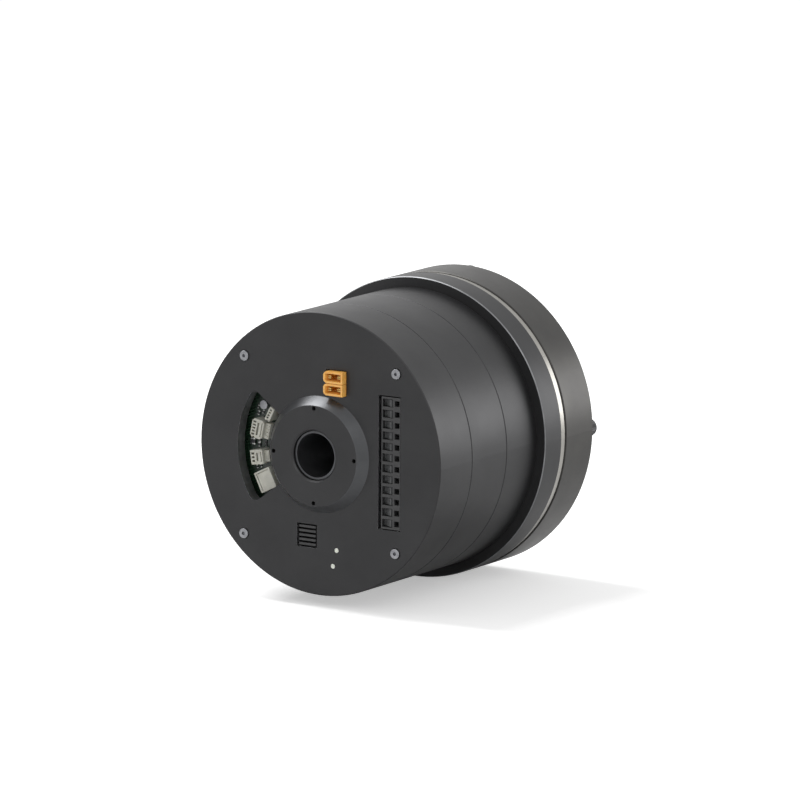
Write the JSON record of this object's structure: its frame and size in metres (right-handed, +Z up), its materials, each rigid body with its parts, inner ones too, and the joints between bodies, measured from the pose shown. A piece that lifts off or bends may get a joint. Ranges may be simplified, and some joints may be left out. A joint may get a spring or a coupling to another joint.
{
  "type": "robot joint actuator",
  "caption": "Hollow-shaft rotary joint actuator: motor, strain-wave gear, brake and encoders in a stepped round housing with a cable bore and rear connectors.",
  "frame": {"origin": "centre of the bearing ring's front face, where the actuator bolts to an arm", "axes": "+Y along the output axis, out of the output end; +Z up with the power sockets above the cable bore; +X towards the terminal block"},
  "size_m": [0.142, 0.1332, 0.142],
  "materials": {
    "dark_anodised": "fine satin, dark grey anodised",
    "screw_steel": "zinc plated",
    "bush_plastic": "filled polymer",
    "seal_rubber": "matt",
    "black_screw": "black oxide",
    "bearing_steel": "ground",
    "plain_aluminium": "turned",
    "spring_steel": "fine turned",
    "lamination": "laminated",
    "copper": "enamelled wire",
    "magnet": "nickel plated",
    "friction_lining": "moulded",
    "encoder_glass": "coated",
    "circuit_board": "solder mask",
    "black_plastic": "moulded",
    "ivory_plastic": "moulded",
    "clear_plastic": "polished",
    "amber_plastic": "moulded",
    "gold_contact": "gold plated"
  },
  "bodies": {
    "case": {"rear_cover": "dark_anodised", "cover_screws": "screw_steel", "tube_bush": "bush_plastic", "middle_housing": "dark_anodised", "housing_screws": "screw_steel", "front_housing": "dark_anodised", "case_seal": "seal_rubber", "case_screws": "black_screw", "shaft_seal": "seal_rubber", "bearing_ring": "dark_anodised", "output_seal": "seal_rubber", "flexspline": "spring_steel", "flex_outer_race": "bearing_steel", "flex_balls": "bearing_steel", "bearing_outer_rings": "bearing_steel", "stator_core": "lamination", "stator_coils": "copper", "brake_body": "lamination", "brake_coil": "copper", "brake_plate": "bearing_steel", "brake_spacers": "bearing_steel", "brake_screws": "screw_steel", "brake_springs": "spring_steel", "control_board": "circuit_board", "power_board": "circuit_board", "encoder_readers": "black_plastic", "board_posts": "plain_aluminium", "board_spacers": "plain_aluminium", "board_screws": "screw_steel", "capacitors": "plain_aluminium", "header_a": "ivory_plastic", "header_b": "ivory_plastic", "header_c": "ivory_plastic", "header_d": "ivory_plastic", "terminal_block": "black_plastic", "vent_louvre": "black_plastic", "light_pipes": "clear_plastic", "power_socket_lower": "amber_plastic", "power_socket_upper": "amber_plastic", "power_pins": "gold_contact"},
    "output": {"output_flange": "bearing_steel", "circular_spline": "bearing_steel", "spline_screws": "black_screw", "centre_tube": "plain_aluminium", "tube_screws": "screw_steel", "output_encoder_disc": "encoder_glass"},
    "rotor": {"motor_shaft": "bearing_steel", "wave_cam": "bearing_steel", "cam_screws": "black_screw", "flex_inner_race": "bearing_steel", "rotor_hub": "bearing_steel", "rotor_magnets": "magnet", "bearing_inner_rings": "bearing_steel", "shaft_nut": "bearing_steel", "brake_hub": "bearing_steel", "brake_disc": "friction_lining", "input_encoder_disc": "encoder_glass"},
    "roller_set": {"crossed_rollers": "bearing_steel"},
    "ball_sets": {"bearing_balls": "bearing_steel"},
    "armature": {"brake_armature": "bearing_steel"}
  },
  "joints": [
    {"name": "rotor_spin", "type": "hinge", "parent": "case", "child": "rotor", "pos_m": [0, 0, 0], "axis": [0, 1, 0], "continuous": true, "deforming": ["flexspline", "flex_outer_race", "flex_balls"]},
    {"name": "output_turn", "type": "hinge", "parent": "case", "child": "output", "pos_m": [0, 0, 0], "axis": [0, 1, 0], "continuous": true},
    {"name": "roller_orbit", "type": "hinge", "parent": "case", "child": "roller_set", "pos_m": [0, -0.0117, 0], "axis": [0, 1, 0], "continuous": true},
    {"name": "ball_orbit", "type": "hinge", "parent": "case", "child": "ball_sets", "pos_m": [0, -0.0595, 0], "axis": [0, 1, 0], "continuous": true},
    {"name": "armature_slide", "type": "slide", "parent": "case", "child": "armature", "axis": [0, -1, 0], "range_m": [0, 0.00028]}
  ],
  "couplings": [
    {"joint": "output_turn", "follows": "rotor_spin", "ratio": 0.019608},
    {"joint": "roller_orbit", "follows": "rotor_spin", "ratio": 0.009563},
    {"joint": "ball_orbit", "follows": "rotor_spin", "ratio": 0.4585}
  ]
}
